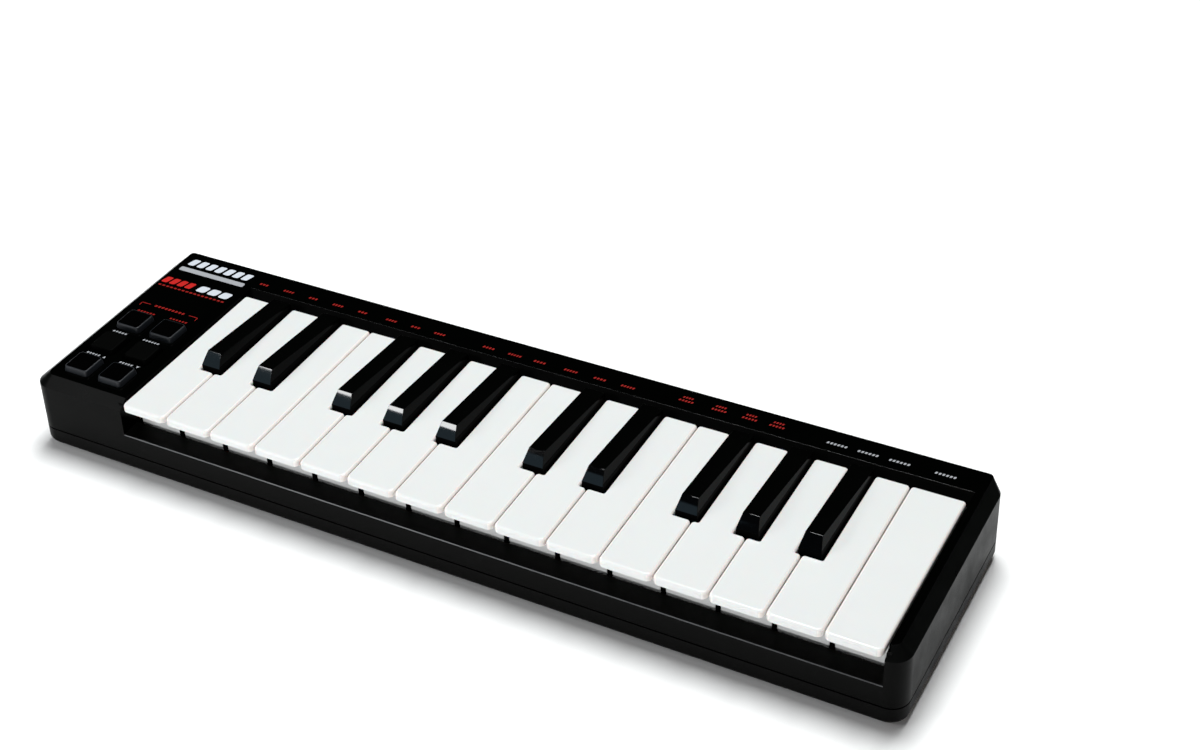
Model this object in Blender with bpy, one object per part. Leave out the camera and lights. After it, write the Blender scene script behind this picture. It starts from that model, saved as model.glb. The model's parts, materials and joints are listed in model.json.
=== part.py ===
"""Miniature music keyboard controller with two octaves of keys and six buttons.

Sizes are in millimetres and are turned into metres where a mesh is made.
+X points to the player's right, +Y away from the player and +Z up. The origin is the
middle of the footprint, on the surface that the feet stand on.
"""

import math

import bmesh
import bpy
from mathutils import Vector

MM = 0.001

# How far a shape reaches into the one it is joined to, and a cutter past what it cuts
OVERLAP = 0.5
PAST = 1.0
CLEARANCE = 0.3

# Case
CASE_WIDTH = 340.0
CASE_DEPTH = 96.0
CASE_TOP = 31.0
CASE_UNDERSIDE = 0.8
CORNER_RADIUS = 5.0
TOP_CORNER_RADIUS = 1.0
CHAMFER_RUN = 4.1
CHAMFER_DROP = 3.4
UNDERSIDE_ROUNDING = 3.0
PARTING_HEIGHT = 8.5
PARTING_GAP = 0.4
WALL = 2.0
TRAY_WALL = 2.6
INNER_WALL = 1.6
INNER_WALL_BOTTOM = 12.0

# Opening that the keys stand in
OPENING_LEFT = -128.8
OPENING_RIGHT = 163.0
OPENING_REAR = 36.4
SLOPE_FOOT_Y = 33.2
SLOPE_FOOT_Z = 26.9
SLOPE_THICKNESS = 1.7
RAIL_TOP = 17.0
LEDGE_REAR_Y = -39.4
LEDGE_REAR_Z = 17.8
LEDGE_THICKNESS = 1.5
LEDGE_LIP_BOTTOM = 13.5

# White keys
WHITE_COUNT = 15
WHITES_PER_OCTAVE = 7
WHITE_PITCH = 19.36
KEYS_LEFT = -128.1
KEY_GAP = 0.4
KEY_FRONT = -47.9
KEY_REAR = 31.3
WHITE_TOP = 30.8
CAP_THICKNESS = 2.8
CAP_CORNER = 2.2
BODY_FRONT = -38.8
BODY_INSET = 0.9
BODY_BOTTOM = 12.0
BODY_CORNER = 0.6
WHITE_ACTUATOR_BOTTOM = 12.6
SKIN = 1.3

# Black keys, shifted sideways from the gap between two white keys
BLACK_SHIFT = {0: -1.75, 1: 1.75, 3: -2.35, 4: 0.0, 5: 2.35}
BLACK_TOP = 37.0
BLACK_REAR_TOP = 33.0
BLACK_SHOULDER = 32.3
BLACK_WIDTH = 8.0
BLACK_TOP_WIDTH = 5.9
BLACK_CUT = 9.5
CUT_FRONT = -16.5
BLACK_FRONT = -16.0
BLACK_TOP_FRONT = -12.5
BLACK_BOTTOM = 14.0
BLACK_ACTUATOR_BOTTOM = 13.2

# Key pivot
PIVOT_Y = 36.5
PIVOT_Z = 22.0
ROD_RADIUS = 1.5
ROD_MARGIN = 0.2
EYE_BORE = 1.85
EYE_RADIUS = 3.0
TAIL_INSET = 1.6
TAIL_TOP = 24.4
TAIL_BOTTOM = 19.6
ROUND_SIDES = 12

# Chassis under the keys
FRAME_BOTTOM = 5.4
FRAME_TOP = 7.0
FRAME_FRONT = -38.9
FRAME_REAR = 39.8
FRAME_LEFT = -128.3
FRAME_RIGHT = 162.5
POST_WIDTH = 2.0
POST_MARGIN = 0.1
POST_FRONT = 33.4
POST_REAR = 39.6
POST_TOP = 24.4
WINDOW = ((-126.3, -7.5), (157.5, 20.5))
FELT_MARGIN = 1.0
DOWN_FELT_REAR = -33.5
DOWN_FELT_THICKNESS = 1.1
UP_FELT = (32.2, 34.6)
UP_FELT_RISE = 0.4

# Contacts under the keys
BOARD_THICKNESS = 1.6
KEY_BOARD_BOTTOM = 3.5
KEY_BOARD_MARGIN = (1.5, 3.0)
STRIP_THICKNESS = 0.9
STRIP_MARGIN = 1.0
DOME_TOP = 10.9
DOME_BASE_RADIUS = 3.0
DOME_TOP_RADIUS = 1.8
WHITE_CONTACT_Y = 0.0
BLACK_CONTACT_Y = 12.5
ACTUATOR_WIDTH = 3.0

# Buttons on the left block
BUTTON_COLUMNS = (-155.8, -140.2)
BUTTON_ROWS = (-3.0, -18.7, -34.2)
BUTTON_SIZE = 11.0
BUTTON_TOP_SIZE = 10.2
BUTTON_RISE = 2.0
BUTTON_CORNER = 1.2
BUTTON_HOLE = 11.8
FLANGE_SIZE = 13.2
FLANGE_TOP = 28.6
FLANGE_BOTTOM = 27.2
MEMBRANE = ((-164.3, -37.1), (-133.7, 3.5))
MEMBRANE_BOTTOM = 24.3
MEMBRANE_THICKNESS = 0.8
MEMBRANE_DOME_TOP = 26.1
MEMBRANE_DOME_RADIUS = 2.8
CONTROL_BOARD_BOTTOM = 22.4
CONTROL_BOARD = ((-166.3, -37.4), (-133.2, 34.0))
BOARD_POSTS = ((-148.0, 9.5), (-148.0, 29.5))
CABLE_X = -134.6
CABLE_EDGES = (-8.0, 4.0)
CABLE_THICKNESS = 0.8
CABLE_BEND = 2.2
CABLE_RISE = 0.5

# Cable socket in the left wall
SOCKET_Y = 22.0
SOCKET_Z = 20.0
SOCKET_WIDTH = 7.7
SOCKET_HEIGHT = 3.9
SOCKET_DEPTH = 9.2
SOCKET_FACE_X = -169.6
SOCKET_SHELL = 0.4
SOCKET_BACK = 2.5
SOCKET_MARGIN = 0.5
TONGUE_SETBACK = 1.2
TONGUE_WIDTH = 4.8
TONGUE_HEIGHTS = (0.1, 0.9)

# Fasteners and feet
CASE_SCREWS = ((-165.0, -43.2), (-163.0, 41.0), (15.0, 43.0), (160.0, 43.0), (15.0, -43.0), (160.0, -43.0))
FRAME_SCREWS = ((-120.0, -28.0), (154.0, -28.0), (-120.0, 28.0), (154.0, 28.0))
FOOT_PLACES = ((-150.0, -34.0), (150.0, -34.0), (-150.0, 34.0), (150.0, 34.0))
SCREW_SHANK = 1.1
SCREW_HEAD = 2.1
HEAD_THICKNESS = 1.3
CASE_SCREW_REACH = 9.5
FRAME_SCREW_REACH = 4.2
BOARD_SCREW_REACH = 5.2
COUNTERBORE_TOP = 2.6
LOWER_BOSS_RADIUS = 2.9
SCREW_BORE = 1.45
BOSS_RADIUS = 2.5
BOSS_TOP = 8.2
BOSS_BORE_DEPTH = 5.0
POST_BORE_DEPTH = 4.0
FOOT_RADIUS = 4.5
FOOT_TOP = 1.3


def clear_scene():
    """Removes whatever the new file holds."""
    for item in list(bpy.data.objects):
        bpy.data.objects.remove(item)


def material(name, color, roughness, metallic=0.0):
    """Makes one plain Principled material."""
    made = bpy.data.materials.new(name)
    made.use_nodes = True
    shader = made.node_tree.nodes["Principled BSDF"]
    shader.inputs["Base Color"].default_value = (*color, 1.0)
    shader.inputs["Roughness"].default_value = roughness
    shader.inputs["Metallic"].default_value = metallic
    return made


def finish(item, origin, look):
    """Moves an object's origin to a point in millimetres and gives it a material of its own."""
    place = Vector(origin) * MM
    for vertex in item.data.vertices:
        vertex.co -= place
    item.location = place
    item.data.materials.clear()
    item.data.materials.append(material(item.name + "_look", *look))
    item.data.set_sharp_from_angle(angle=math.radians(35))
    return item


# Mesh helpers ------------------------------------------------------------------------


def loft(name, loops):
    """Closed solid through loops of equally many points, given in millimetres."""
    mesh = bmesh.new()
    rings = [[mesh.verts.new(Vector(point) * MM) for point in loop] for loop in loops]
    for low, high in zip(rings, rings[1:]):
        for i in range(len(low)):
            j = (i + 1) % len(low)
            mesh.faces.new((low[i], low[j], high[j], high[i]))
    mesh.faces.new(rings[0])
    mesh.faces.new(rings[-1])
    bmesh.ops.recalc_face_normals(mesh, faces=mesh.faces)
    data = bpy.data.meshes.new(name)
    mesh.to_mesh(data)
    mesh.free()
    item = bpy.data.objects.new(name, data)
    bpy.context.scene.collection.objects.link(item)
    return item


def prism(name, outline, low, high):
    """Solid over an outline in the XY plane, from height low to height high."""
    return loft(name, [[(x, y, z) for x, y in outline] for z in (low, high)])


def bar(name, profile, left, right):
    """Solid along X with a profile in the YZ plane."""
    return loft(name, [[(x, y, z) for y, z in profile] for x in (left, right)])


def box(name, low, high):
    """Solid between two opposite corners."""
    outline = [(low[0], low[1]), (high[0], low[1]), (high[0], high[1]), (low[0], high[1])]
    return prism(name, outline, low[2], high[2])


def circle(centre, radius, sides=ROUND_SIDES):
    """Points of a circle, with a flat at its top and bottom."""
    turn = math.tau / sides
    angles = [turn * (i + 0.5) for i in range(sides)]
    return [(centre[0] + radius * math.cos(a), centre[1] + radius * math.sin(a)) for a in angles]


def rounded(low, high, radii, steps=3):
    """Rectangle with rounded corners: front left, front right, rear right, rear left."""
    corners = ((low[0], low[1], 180), (high[0], low[1], 270), (high[0], high[1], 0), (low[0], high[1], 90))
    inward = ((1, 1), (-1, 1), (-1, -1), (1, -1))
    points = []
    for (x, y, start), (across, along), radius in zip(corners, inward, radii):
        cx, cy = x + across * radius, y + along * radius
        for i in range(steps + 1):
            angle = math.radians(start + 90 * i / steps)
            points.append((cx + radius * math.cos(angle), cy + radius * math.sin(angle)))
    return points


def square(centre, size, radius):
    """Square with rounded corners round a centre."""
    half = size / 2
    low = (centre[0] - half, centre[1] - half)
    high = (centre[0] + half, centre[1] + half)
    return rounded(low, high, [radius] * 4, steps=2)


def combine(target, tool, operation):
    """Adds a solid to another, or cuts it away, and removes it."""
    modifier = target.modifiers.new(operation.lower(), "BOOLEAN")
    modifier.operation = operation
    modifier.solver = "EXACT"
    modifier.object = tool
    depsgraph = bpy.context.evaluated_depsgraph_get()
    result = bpy.data.meshes.new_from_object(target.evaluated_get(depsgraph))
    target.modifiers.clear()
    target.data = result
    bpy.data.objects.remove(tool)


def add(target, tool):
    combine(target, tool, "UNION")


def cut(target, tool):
    combine(target, tool, "DIFFERENCE")


# Key layout --------------------------------------------------------------------------


def black_gaps():
    """White key on the left of each black key."""
    return [i for i in range(WHITE_COUNT - 1) if i % WHITES_PER_OCTAVE in BLACK_SHIFT]


def black_centre(gap):
    """Middle of the black key to the right of white key number gap."""
    return KEYS_LEFT + (gap + 1) * WHITE_PITCH + BLACK_SHIFT[gap % WHITES_PER_OCTAVE]


def white_edges(index):
    """Left and right edge of a white key at its front and beside the black keys."""
    left = KEYS_LEFT + index * WHITE_PITCH
    right = left + WHITE_PITCH
    rear_left, rear_right = left + KEY_GAP / 2, right - KEY_GAP / 2
    if index - 1 in black_gaps():
        rear_left = black_centre(index - 1) + BLACK_CUT / 2
    if index in black_gaps():
        rear_right = black_centre(index) - BLACK_CUT / 2
    return left + KEY_GAP / 2, right - KEY_GAP / 2, rear_left, rear_right


def tail_bounds():
    """Edges between neighbouring keys at the pivot, from the left end to the right end."""
    cuts = [black_centre(i) + side * BLACK_CUT / 2 for i in black_gaps() for side in (-1, 1)]
    plain = [
        KEYS_LEFT + (i + 1) * WHITE_PITCH
        for i in range(WHITE_COUNT - 1)
        if i not in black_gaps()
    ]
    ends = [KEYS_LEFT, KEYS_LEFT + WHITE_COUNT * WHITE_PITCH]
    return sorted(cuts + plain + ends)


def white_outline(index, inset, front, rear, corner):
    """Plan of a white key, drawn inwards by inset, with rounded front corners."""
    left, right, rear_left, rear_right = white_edges(index)
    step = CUT_FRONT - inset
    arcs = rounded((left + inset, front), (right - inset, rear), (corner, corner, 0, 0))
    points = arcs[:8]
    if rear_right < right:
        points += [(right - inset, step), (rear_right - inset, step)]
    points += [(rear_right - inset, rear), (rear_left + inset, rear)]
    if rear_left > left:
        points += [(rear_left + inset, step), (left + inset, step)]
    return points


# Keys --------------------------------------------------------------------------------


def add_tail(key, left, right, start):
    """Adds the narrow tail with the eye that turns on the rod."""
    low = (left + TAIL_INSET, start, TAIL_BOTTOM)
    high = (right - TAIL_INSET, PIVOT_Y, TAIL_TOP)
    add(key, box("tail", low, high))
    add(key, bar("eye", circle((PIVOT_Y, PIVOT_Z), EYE_RADIUS), low[0], high[0]))
    cut(key, bar("bore", circle((PIVOT_Y, PIVOT_Z), EYE_BORE), low[0] - PAST, high[0] + PAST))


def add_actuator(key, x, y, bottom, top):
    """Adds the post inside a key that presses its contact dome."""
    half = ACTUATOR_WIDTH / 2
    add(key, box("actuator", (x - half, y - half, bottom), (x + half, y + half, top)))


def white_key(index):
    """White key: overhanging cap on a hollow body, with a tail to the pivot."""
    left, right, rear_left, rear_right = white_edges(index)
    cap_bottom = WHITE_TOP - CAP_THICKNESS
    body_rear = KEY_REAR - BODY_INSET
    plan = white_outline(index, 0, KEY_FRONT, KEY_REAR, CAP_CORNER)
    key = prism(f"white_key_{index + 1:02d}", plan, cap_bottom, WHITE_TOP)
    walls = white_outline(index, BODY_INSET, BODY_FRONT, body_rear, BODY_CORNER)
    add(key, prism("walls", walls, BODY_BOTTOM, cap_bottom + OVERLAP))
    inset = BODY_INSET + SKIN
    hollow = white_outline(index, inset, BODY_FRONT + SKIN, body_rear - SKIN, BODY_CORNER / 2)
    cut(key, prism("hollow", hollow, BODY_BOTTOM - PAST, cap_bottom - OVERLAP))
    middle = (rear_left + rear_right) / 2
    add_actuator(key, middle, WHITE_CONTACT_Y, WHITE_ACTUATOR_BOTTOM, cap_bottom)
    add_tail(key, max(rear_left, left), min(rear_right, right), body_rear - OVERLAP)
    return finish(key, (middle, PIVOT_Y, PIVOT_Z), ((0.86, 0.86, 0.84), 0.28))


def black_key(gap, number):
    """Black key: hollow body that narrows above its shoulder, with a top that falls to the rear."""
    x = black_centre(gap)
    half, top_half = BLACK_WIDTH / 2, BLACK_TOP_WIDTH / 2
    draft = (half - top_half) / (BLACK_TOP - BLACK_SHOULDER)
    rear_half = half - draft * (BLACK_REAR_TOP - BLACK_SHOULDER)
    foot = [(x - half, BLACK_FRONT), (x + half, BLACK_FRONT), (x + half, KEY_REAR), (x - half, KEY_REAR)]
    crown = [
        (x - top_half, BLACK_TOP_FRONT, BLACK_TOP),
        (x + top_half, BLACK_TOP_FRONT, BLACK_TOP),
        (x + rear_half, KEY_REAR, BLACK_REAR_TOP),
        (x - rear_half, KEY_REAR, BLACK_REAR_TOP),
    ]
    walls = [[(a, b, z) for a, b in foot] for z in (BLACK_BOTTOM, BLACK_SHOULDER)]
    key = loft(f"black_key_{number:02d}", [*walls, crown])
    low = (x - half + SKIN, BLACK_FRONT + SKIN, BLACK_BOTTOM - PAST)
    high = (x + half - SKIN, KEY_REAR - SKIN, WHITE_TOP)
    cut(key, box("hollow", low, high))
    add_actuator(key, x, BLACK_CONTACT_Y, BLACK_ACTUATOR_BOTTOM, WHITE_TOP + OVERLAP)
    add_tail(key, x - BLACK_CUT / 2, x + BLACK_CUT / 2, KEY_REAR - OVERLAP)
    return finish(key, (x, PIVOT_Y, PIVOT_Z), ((0.012, 0.012, 0.013), 0.08))


# Case --------------------------------------------------------------------------------


def case_outline(inset, radius):
    """Plan of the case walls, drawn inwards by inset."""
    half_width, half_depth = CASE_WIDTH / 2 - inset, CASE_DEPTH / 2 - inset
    return rounded((-half_width, -half_depth), (half_width, half_depth), [radius] * 4)


def top_shell():
    """Outer form of the upper case, with chamfers at the front and the two ends."""
    half_width, half_depth = CASE_WIDTH / 2, CASE_DEPTH / 2
    wall = case_outline(0, CORNER_RADIUS)
    top = rounded(
        (-half_width + CHAMFER_RUN, -half_depth + CHAMFER_RUN),
        (half_width - CHAMFER_RUN, half_depth),
        [TOP_CORNER_RADIUS] * 4,
    )
    levels = (
        (wall, PARTING_HEIGHT + PARTING_GAP / 2),
        (wall, CASE_TOP - CHAMFER_DROP),
        (top, CASE_TOP),
    )
    return loft("top_case", [[(x, y, z) for x, y in plan] for plan, z in levels])


def top_case():
    """Upper case: shell, key opening, ledge, sloping rear edge, holes and bosses."""
    case = top_shell()
    ceiling = CASE_TOP - WALL
    cut(case, prism("cavity", case_outline(WALL, CORNER_RADIUS - WALL), 0, ceiling))
    wall_middle = CASE_DEPTH / 2 - WALL + OVERLAP
    for inner, outer in ((OPENING_LEFT, -INNER_WALL), (OPENING_RIGHT, INNER_WALL)):
        spare = -math.copysign(OVERLAP, outer)
        sides = sorted((inner + spare, inner + outer))
        low = (sides[0], -wall_middle, INNER_WALL_BOTTOM)
        high = (sides[1], wall_middle, ceiling + OVERLAP)
        add(case, box("inner_wall", low, high))
    span = (OPENING_LEFT - OVERLAP, OPENING_RIGHT + OVERLAP)
    under = RAIL_TOP - LEDGE_THICKNESS
    lip = LEDGE_REAR_Y - INNER_WALL
    ledge = [
        (-wall_middle, under),
        (lip, under),
        (lip, LEDGE_LIP_BOTTOM),
        (LEDGE_REAR_Y + OVERLAP, LEDGE_LIP_BOTTOM),
        (LEDGE_REAR_Y + OVERLAP, LEDGE_REAR_Z + OVERLAP),
        (-wall_middle, LEDGE_REAR_Z + OVERLAP),
    ]
    add(case, bar("ledge", ledge, *span))
    slope = [
        (SLOPE_FOOT_Y - SLOPE_THICKNESS, SLOPE_FOOT_Z - OVERLAP),
        (SLOPE_FOOT_Y + SLOPE_THICKNESS, SLOPE_FOOT_Z - OVERLAP),
        (OPENING_REAR + SLOPE_THICKNESS + OVERLAP, ceiling + OVERLAP),
        (SLOPE_FOOT_Y - SLOPE_THICKNESS, ceiling + OVERLAP),
    ]
    add(case, bar("slope", slope, *span))
    rise = (LEDGE_REAR_Z - RAIL_TOP) / (LEDGE_REAR_Y + CASE_DEPTH / 2)
    lean = (OPENING_REAR - SLOPE_FOOT_Y) / (CASE_TOP - SLOPE_FOOT_Z)
    inner_rear = CASE_DEPTH / 2 - WALL - CLEARANCE
    opening = [
        (-CASE_DEPTH / 2 - PAST, RAIL_TOP - PAST * rise),
        (LEDGE_REAR_Y, LEDGE_REAR_Z),
        (LEDGE_REAR_Y, INNER_WALL_BOTTOM - PAST),
        (inner_rear, INNER_WALL_BOTTOM - PAST),
        (inner_rear, SLOPE_FOOT_Z),
        (SLOPE_FOOT_Y, SLOPE_FOOT_Z),
        (OPENING_REAR + PAST * lean, CASE_TOP + PAST),
        (-CASE_DEPTH / 2 - PAST, CASE_TOP + PAST),
    ]
    cut(case, bar("opening", opening, OPENING_LEFT, OPENING_RIGHT))
    for x in BUTTON_COLUMNS:
        for y in BUTTON_ROWS:
            hole = square((x, y), BUTTON_HOLE, BUTTON_CORNER)
            cut(case, prism("hole", hole, ceiling - PAST, CASE_TOP + PAST))
    half = (SOCKET_WIDTH / 2 + SOCKET_MARGIN, SOCKET_HEIGHT / 2 + SOCKET_MARGIN)
    low = (-CASE_WIDTH / 2 - PAST, SOCKET_Y - half[0], SOCKET_Z - half[1])
    high = (-CASE_WIDTH / 2 + WALL + OVERLAP, SOCKET_Y + half[0], SOCKET_Z + half[1])
    cut(case, box("socket_hole", low, high))
    foot = BOSS_TOP + CLEARANCE
    for x, y in CASE_SCREWS:
        top = (under if y < 0 and x > OPENING_LEFT else ceiling) + OVERLAP
        add(case, prism("boss", circle((x, y), BOSS_RADIUS), foot, top))
        cut(case, prism("bore", circle((x, y), SCREW_BORE, 8), foot - PAST, foot + BOSS_BORE_DEPTH))
    foot = CONTROL_BOARD_BOTTOM + BOARD_THICKNESS + CLEARANCE
    for place in BOARD_POSTS:
        add(case, prism("post", circle(place, BOSS_RADIUS), foot, ceiling + OVERLAP))
        cut(case, prism("bore", circle(place, SCREW_BORE, 8), foot - PAST, foot + POST_BORE_DEPTH))
    return finish(case, (0, 0, 0), ((0.014, 0.014, 0.015), 0.2))


def bottom_case():
    """Lower case: a tray with a rounded underside, bosses, standoffs and foot recesses."""
    rim = PARTING_HEIGHT - PARTING_GAP / 2
    loops = []
    for turn in (90, 60, 30, 0):
        inset = UNDERSIDE_ROUNDING * (1 - math.cos(math.radians(turn)))
        height = UNDERSIDE_ROUNDING * (1 - math.sin(math.radians(turn)))
        outline = case_outline(inset, CORNER_RADIUS - inset / 2)
        loops.append([(x, y, CASE_UNDERSIDE + height) for x, y in outline])
    loops.append([(x, y, rim) for x, y in case_outline(0, CORNER_RADIUS)])
    tray = loft("bottom_case", loops)
    floor = CASE_UNDERSIDE + WALL
    cut(tray, prism("cavity", case_outline(TRAY_WALL, CORNER_RADIUS - WALL), floor, rim + PAST))
    for place in CASE_SCREWS:
        add(tray, prism("boss", circle(place, LOWER_BOSS_RADIUS), floor - OVERLAP, BOSS_TOP))
        cut(tray, prism("counterbore", circle(place, SCREW_HEAD + CLEARANCE), 0, COUNTERBORE_TOP))
        cut(tray, prism("bore", circle(place, SCREW_BORE, 8), 0, BOSS_TOP + PAST))
    for place in FRAME_SCREWS:
        add(tray, prism("standoff", circle(place, BOSS_RADIUS), floor - OVERLAP, FRAME_BOTTOM - CLEARANCE))
        cut(tray, prism("bore", circle(place, SCREW_BORE, 8), floor - OVERLAP / 2, FRAME_BOTTOM + PAST))
    for place in FOOT_PLACES:
        cut(tray, prism("recess", circle(place, FOOT_RADIUS + CLEARANCE, 16), 0, FOOT_TOP + CLEARANCE))
    return finish(tray, (0, 0, 0), ((0.02, 0.02, 0.021), 0.5))


def foot(number, place):
    """Round rubber foot in its recess."""
    item = prism(f"foot_{number}", circle(place, FOOT_RADIUS, 16), 0, FOOT_TOP)
    return finish(item, (*place, 0), ((0.03, 0.03, 0.03), 0.8))


# Chassis and contacts ----------------------------------------------------------------


def key_frame():
    """Chassis: a plate with a window for the contacts and a comb that holds the rod."""
    frame = box("key_frame", (FRAME_LEFT, FRAME_FRONT, FRAME_BOTTOM), (FRAME_RIGHT, FRAME_REAR, FRAME_TOP))
    low, high = WINDOW
    cut(frame, box("window", (*low, FRAME_BOTTOM - PAST), (*high, FRAME_TOP + PAST)))
    bounds = tail_bounds()
    for i, x in enumerate(bounds):
        left, right = x - POST_WIDTH / 2, x + POST_WIDTH / 2
        if i == 0:
            left = FRAME_LEFT + POST_MARGIN
        if i == len(bounds) - 1:
            right = FRAME_RIGHT - POST_MARGIN
        post = box("post", (left, POST_FRONT, FRAME_TOP - OVERLAP), (right, POST_REAR, POST_TOP))
        bore = circle((PIVOT_Y, PIVOT_Z), ROD_RADIUS + CLEARANCE)
        cut(post, bar("bore", bore, left - PAST, right + PAST))
        add(frame, post)
    for place in FRAME_SCREWS:
        cut(frame, prism("bore", circle(place, SCREW_BORE, 8), FRAME_BOTTOM - PAST, FRAME_TOP + PAST))
    return finish(frame, (0, 0, 0), ((0.1, 0.1, 0.11), 0.6))


def pivot_rod():
    """Steel rod that every key turns on."""
    ends = (FRAME_LEFT + ROD_MARGIN, FRAME_RIGHT - ROD_MARGIN)
    rod = bar("pivot_rod", circle((PIVOT_Y, PIVOT_Z), ROD_RADIUS), *ends)
    return finish(rod, (0, PIVOT_Y, PIVOT_Z), ((0.62, 0.62, 0.63), 0.25, 1.0))


def stop_felts():
    """Felt strips that the keys meet at the bottom and at the top of their travel."""
    left, right = FRAME_LEFT + FELT_MARGIN, FRAME_RIGHT - FELT_MARGIN
    front, bottom = FRAME_FRONT + CLEARANCE, FRAME_TOP + CLEARANCE
    down = box("down_stop_felt", (left, front, bottom), (right, DOWN_FELT_REAR, bottom + DOWN_FELT_THICKNESS))
    finish(down, (0, front, bottom), ((0.05, 0.05, 0.055), 0.95))
    front, rear = UP_FELT
    bottom, top = TAIL_TOP + UP_FELT_RISE, SLOPE_FOOT_Z - CLEARANCE
    up = box("up_stop_felt", (left, front, bottom), (right, rear, top))
    finish(up, (0, front, bottom), ((0.05, 0.05, 0.055), 0.95))


def contact_places():
    """Contact positions of all keys, from left to right."""
    places = [(black_centre(i), BLACK_CONTACT_Y) for i in black_gaps()]
    for i in range(WHITE_COUNT):
        _, _, left, right = white_edges(i)
        places.append(((left + right) / 2, WHITE_CONTACT_Y))
    return sorted(places)


def contact_strips():
    """Two silicone strips with a dome under every key."""
    (left, front), (right, rear) = WINDOW
    middle = KEYS_LEFT + WHITES_PER_OCTAVE * WHITE_PITCH
    bottom = KEY_BOARD_BOTTOM + BOARD_THICKNESS + CLEARANCE
    top = bottom + STRIP_THICKNESS
    halves = {"left": (left, middle), "right": (middle, right)}
    for side, (start, end) in halves.items():
        low = (start + STRIP_MARGIN, front + STRIP_MARGIN, bottom)
        high = (end - STRIP_MARGIN, rear - STRIP_MARGIN, top)
        strip = box(f"contact_strip_{side}", low, high)
        for x, y in contact_places():
            if start < x < end:
                base, crown = circle((x, y), DOME_BASE_RADIUS, 8), circle((x, y), DOME_TOP_RADIUS, 8)
                rings = ((base, top - OVERLAP), (crown, DOME_TOP))
                loops = [[(a, b, z) for a, b in ring] for ring, z in rings]
                add(strip, loft("dome", loops))
        finish(strip, low, ((0.5, 0.52, 0.55), 0.7))


def boards():
    """Contact board under the keys and control board under the buttons."""
    (left, front), (right, rear) = WINDOW
    across, along = KEY_BOARD_MARGIN
    low = (left - across, front - along, KEY_BOARD_BOTTOM)
    high = (right + across, rear + along, KEY_BOARD_BOTTOM + BOARD_THICKNESS)
    finish(box("key_contact_board", low, high), low, ((0.03, 0.16, 0.06), 0.45))
    low, high = CONTROL_BOARD
    top = CONTROL_BOARD_BOTTOM + BOARD_THICKNESS
    board = box("control_board", (*low, CONTROL_BOARD_BOTTOM), (*high, top))
    for place in BOARD_POSTS:
        cut(board, prism("bore", circle(place, SCREW_BORE, 8), CONTROL_BOARD_BOTTOM - PAST, top + PAST))
    finish(board, (*low, CONTROL_BOARD_BOTTOM), ((0.03, 0.16, 0.06), 0.45))


def ribbon_cable():
    """Flat cable from the control board down and under the inner wall to the contact board."""
    run_z = KEY_BOARD_BOTTOM + CABLE_RISE
    top_z = CONTROL_BOARD_BOTTOM - CLEARANCE
    end_x = WINDOW[0][0] - KEY_BOARD_MARGIN[0] - CLEARANCE
    centre = (CABLE_X + CABLE_BEND, run_z + CABLE_BEND)
    outer = [(CABLE_X, top_z)]
    inner = [(CABLE_X + CABLE_THICKNESS, top_z)]
    for i in range(5):
        angle = math.radians(180 + 90 * i / 4)
        for side, radius in ((outer, CABLE_BEND), (inner, CABLE_BEND - CABLE_THICKNESS)):
            side.append((centre[0] + radius * math.cos(angle), centre[1] + radius * math.sin(angle)))
    outer.append((end_x, run_z))
    inner.append((end_x, run_z + CABLE_THICKNESS))
    profile = outer + inner[::-1]
    cable = loft("ribbon_cable", [[(x, y, z) for x, z in profile] for y in CABLE_EDGES])
    return finish(cable, (CABLE_X, sum(CABLE_EDGES) / 2, top_z), ((0.4, 0.4, 0.42), 0.5))


# Buttons and socket ------------------------------------------------------------------


def button(name, place, look):
    """Button cap with drafted sides and a flange that keeps it under the top case."""
    levels = (
        (BUTTON_SIZE, FLANGE_BOTTOM + OVERLAP),
        (BUTTON_SIZE, CASE_TOP),
        (BUTTON_TOP_SIZE, CASE_TOP + BUTTON_RISE),
    )
    loops = [[(x, y, z) for x, y in square(place, size, BUTTON_CORNER)] for size, z in levels]
    cap = loft(name, loops)
    add(cap, prism("flange", square(place, FLANGE_SIZE, BUTTON_CORNER), FLANGE_BOTTOM, FLANGE_TOP))
    return finish(cap, (*place, CASE_TOP), look)


def buttons():
    """Six buttons in two columns: lit caps in the outer rows and plain ones between."""
    lit = ((0.3, 0.33, 0.36), 0.4)
    plain = ((0.03, 0.03, 0.03), 0.6)
    names = ("upper", "middle", "lower")
    for row, y in enumerate(BUTTON_ROWS):
        for side, x in zip(("left", "right"), BUTTON_COLUMNS):
            button(f"button_{names[row]}_{side}", (x, y), plain if row == 1 else lit)


def button_membrane():
    """Rubber membrane with a dome under each button."""
    low, high = MEMBRANE
    top = MEMBRANE_BOTTOM + MEMBRANE_THICKNESS
    sheet = box("button_membrane", (*low, MEMBRANE_BOTTOM), (*high, top))
    for x in BUTTON_COLUMNS:
        for y in BUTTON_ROWS:
            base, crown = circle((x, y), MEMBRANE_DOME_RADIUS, 8), circle((x, y), DOME_TOP_RADIUS, 8)
            rings = ((base, top - OVERLAP), (crown, MEMBRANE_DOME_TOP))
            add(sheet, loft("dome", [[(a, b, z) for a, b in ring] for ring, z in rings]))
    return finish(sheet, (*low, MEMBRANE_BOTTOM), ((0.2, 0.2, 0.2), 0.8))


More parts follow.
